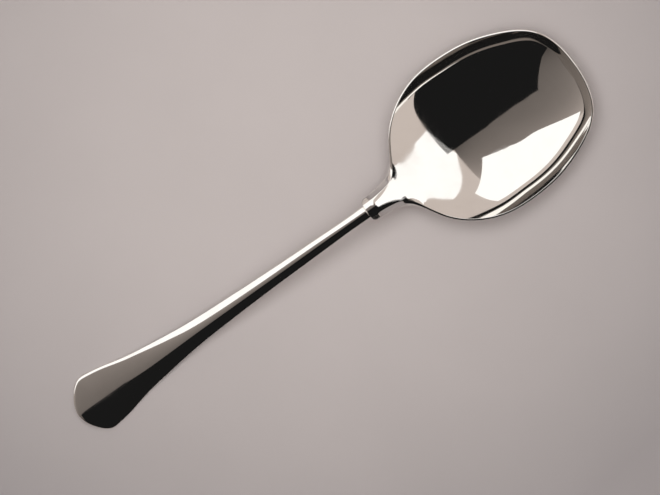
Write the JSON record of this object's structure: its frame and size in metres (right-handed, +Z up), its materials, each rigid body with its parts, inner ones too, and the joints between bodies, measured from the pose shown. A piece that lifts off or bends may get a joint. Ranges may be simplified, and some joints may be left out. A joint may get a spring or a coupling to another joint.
{
  "type": "serving spoon",
  "caption": "Polished metal serving spoon with a wide blunt-ended bowl, a bevelled neck and a slim crowned handle with a spade-shaped end.",
  "frame": {"origin": "on the table, under the middle of the spoon's overall box", "axes": "+X along the spoon from the handle's point to the bowl's tip, +Z up out of the open bowl, +Y to the left of +X"},
  "size_m": [0.24, 0.067, 0.0214],
  "materials": {
    "bowl_metal": "mirror polished steel",
    "handle_metal": "mirror polished steel"
  },
  "bodies": {
    "root": {"bowl": "bowl_metal", "handle": "handle_metal"}
  },
  "joints": []
}
